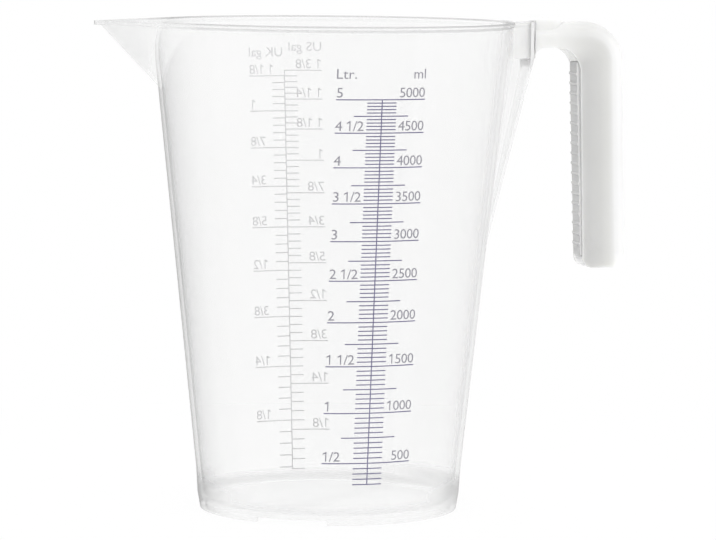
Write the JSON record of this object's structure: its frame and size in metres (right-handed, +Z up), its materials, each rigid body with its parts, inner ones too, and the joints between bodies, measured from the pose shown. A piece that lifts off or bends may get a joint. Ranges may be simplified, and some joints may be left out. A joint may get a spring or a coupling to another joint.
{
  "type": "measuring jug",
  "caption": "Tapered see-through measuring jug with a pouring lip, an open hook handle with a ribbed finger strip, and printed litre and gallon scales.",
  "frame": {"origin": "on the jug's axis, in the plane of the table that the foot ring stands on", "axes": "+Z up along the jug's axis, +X towards the handle with the lip at -X, litre scale on the -Y side, gallon scale on the +Y side"},
  "size_m": [0.3067, 0.2048, 0.276],
  "materials": {
    "natural_plastic": "see-through, faintly milky, smooth",
    "white_plastic": "smooth, milky white",
    "strip_plastic": "satin, with cross ribs",
    "ink": "printed, dark violet blue"
  },
  "bodies": {
    "root": {"jug_body": "natural_plastic", "handle": "white_plastic", "finger_strip": "strip_plastic", "litre_scale": "ink", "gallon_scale": "ink"}
  },
  "joints": []
}
